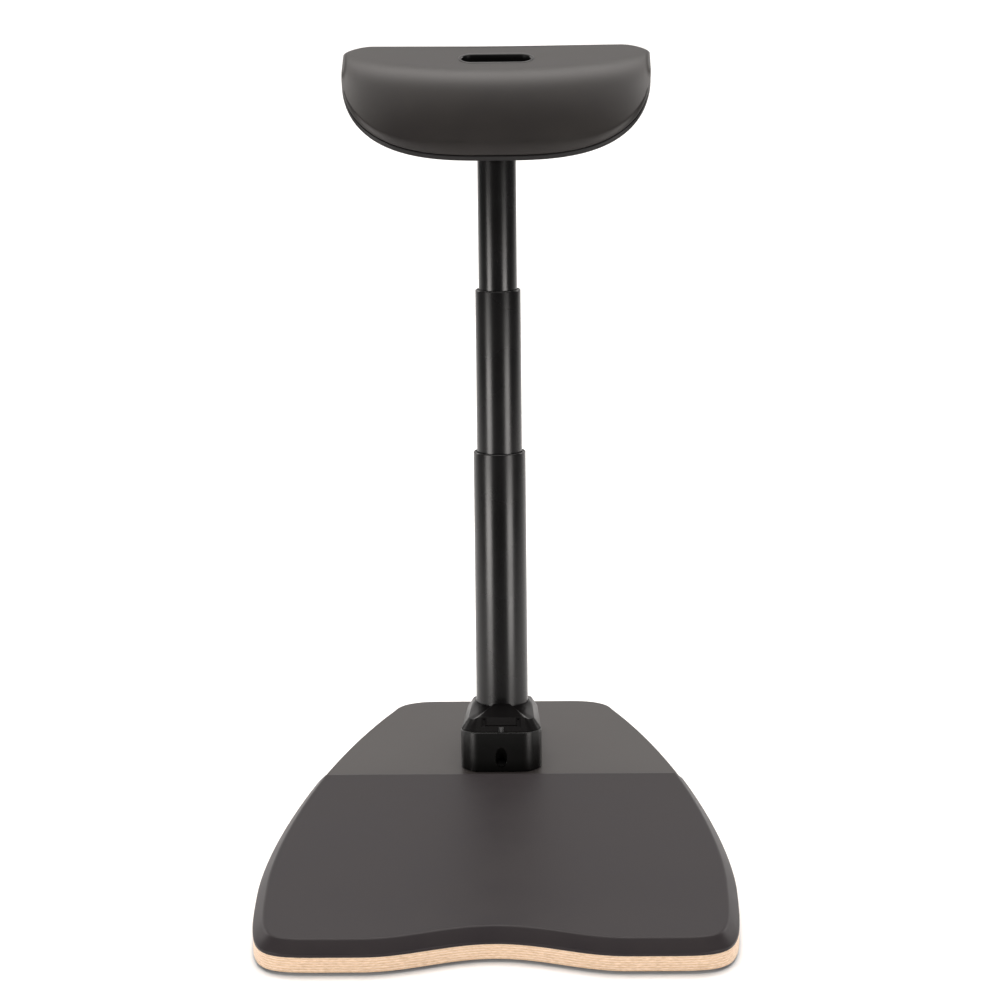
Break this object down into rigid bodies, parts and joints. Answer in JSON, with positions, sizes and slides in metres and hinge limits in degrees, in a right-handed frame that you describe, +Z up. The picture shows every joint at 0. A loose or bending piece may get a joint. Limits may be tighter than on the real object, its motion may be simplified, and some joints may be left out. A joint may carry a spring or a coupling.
{
  "type": "perch stool",
  "caption": "Leaning perch stool: padded seat with a hand slot on a slanted telescopic gas column, fixed to a plywood platform with a cushioned standing mat.",
  "frame": {"origin": "on the floor, at the middle of the stool's footprint, measured over the seat and the platform", "axes": "+X to the right and +Y to the rear of the stool, seen from the user; +Z up. The user stands at -Y and the column leans towards +Y"},
  "size_m": [0.505, 0.7658, 0.8031],
  "materials": {
    "wood_board": "birch plywood, clear lacquer",
    "mat_foam": "dark grey polyurethane foam, matt",
    "rubber": "black rubber, matt",
    "cast_black": "black glass-filled nylon, moulded, semi-gloss",
    "cover_black": "black ABS, moulded, semi-gloss",
    "tube_black": "black powder coat on steel, satin",
    "guide_plastic": "black acetal, turned",
    "steel": "zinc-plated steel",
    "dark_steel": "black electrocoat on steel",
    "pad_cover": "black moulded polyurethane skin, satin",
    "liner_plastic": "dark grey ABS, moulded",
    "shell_plastic": "black polypropylene, moulded as structural foam"
  },
  "bodies": {
    "base": {"plywood_board": "wood_board", "foot_mat": "mat_foam", "rubber_foot_1": "rubber", "rubber_foot_2": "rubber", "rubber_foot_3": "rubber", "rubber_foot_4": "rubber", "rubber_foot_5": "rubber", "rubber_foot_6": "rubber", "foot_block": "cast_black", "toe_screw": "dark_steel", "block_bolt_1": "steel", "block_bolt_2": "steel", "block_bolt_3": "steel", "block_bolt_4": "steel", "collar_cover": "cover_black", "collar_clip": "dark_steel", "outer_tube": "tube_black", "outer_guide_ring": "guide_plastic", "tube_base_plug": "steel", "rod_clip": "steel", "bump_stop": "rubber", "piston_rod": "steel"},
    "middle_stage": {"middle_tube": "tube_black", "middle_slider": "guide_plastic", "middle_guide_ring": "guide_plastic"},
    "inner_stage": {"inner_tube": "tube_black", "inner_slider": "guide_plastic", "cylinder_guide": "guide_plastic", "gas_cylinder": "dark_steel", "top_plug": "steel", "thrust_washer": "guide_plastic"},
    "seat": {"seat_pad": "pad_cover", "seat_shell": "shell_plastic", "slot_liner": "liner_plastic", "seat_bracket": "dark_steel", "seat_hub": "dark_steel", "hub_clip": "steel", "hinge_pin": "steel", "shell_screw_1": "steel", "shell_screw_2": "steel", "shell_screw_3": "steel", "shell_screw_4": "steel"},
    "paddle": {"release_paddle": "dark_steel", "paddle_sleeve": "rubber"},
    "pin": {"release_pin": "steel"}
  },
  "joints": [
    {"name": "lower_slide", "type": "slide", "parent": "base", "child": "middle_stage", "axis": [0, 0.1392, 0.9903], "range_m": [-0.175, 0]},
    {"name": "upper_slide", "type": "slide", "parent": "middle_stage", "child": "inner_stage", "axis": [0, 0.1392, 0.9903], "range_m": [-0.125, 0]},
    {"name": "seat_swivel", "type": "hinge", "parent": "inner_stage", "child": "seat", "pos_m": [0, 0.28904, 0.71419], "axis": [0, 0.1392, 0.9903], "continuous": true},
    {"name": "paddle_hinge", "type": "hinge", "parent": "seat", "child": "paddle", "pos_m": [0, 0.31429, 0.73938], "axis": [1, 0, 0], "range_deg": [0, 7], "stiffness_Nm_per_rad": 0.6, "springref_deg": -17.19},
    {"name": "pin_slide", "type": "slide", "parent": "inner_stage", "child": "pin", "axis": [0, 0.1392, 0.9903], "range_m": [-0.0035, 0.0005]}
  ],
  "couplings": [
    {"joint": "pin_slide", "follows": "paddle_hinge", "m_per_rad": -0.0215}
  ]
}
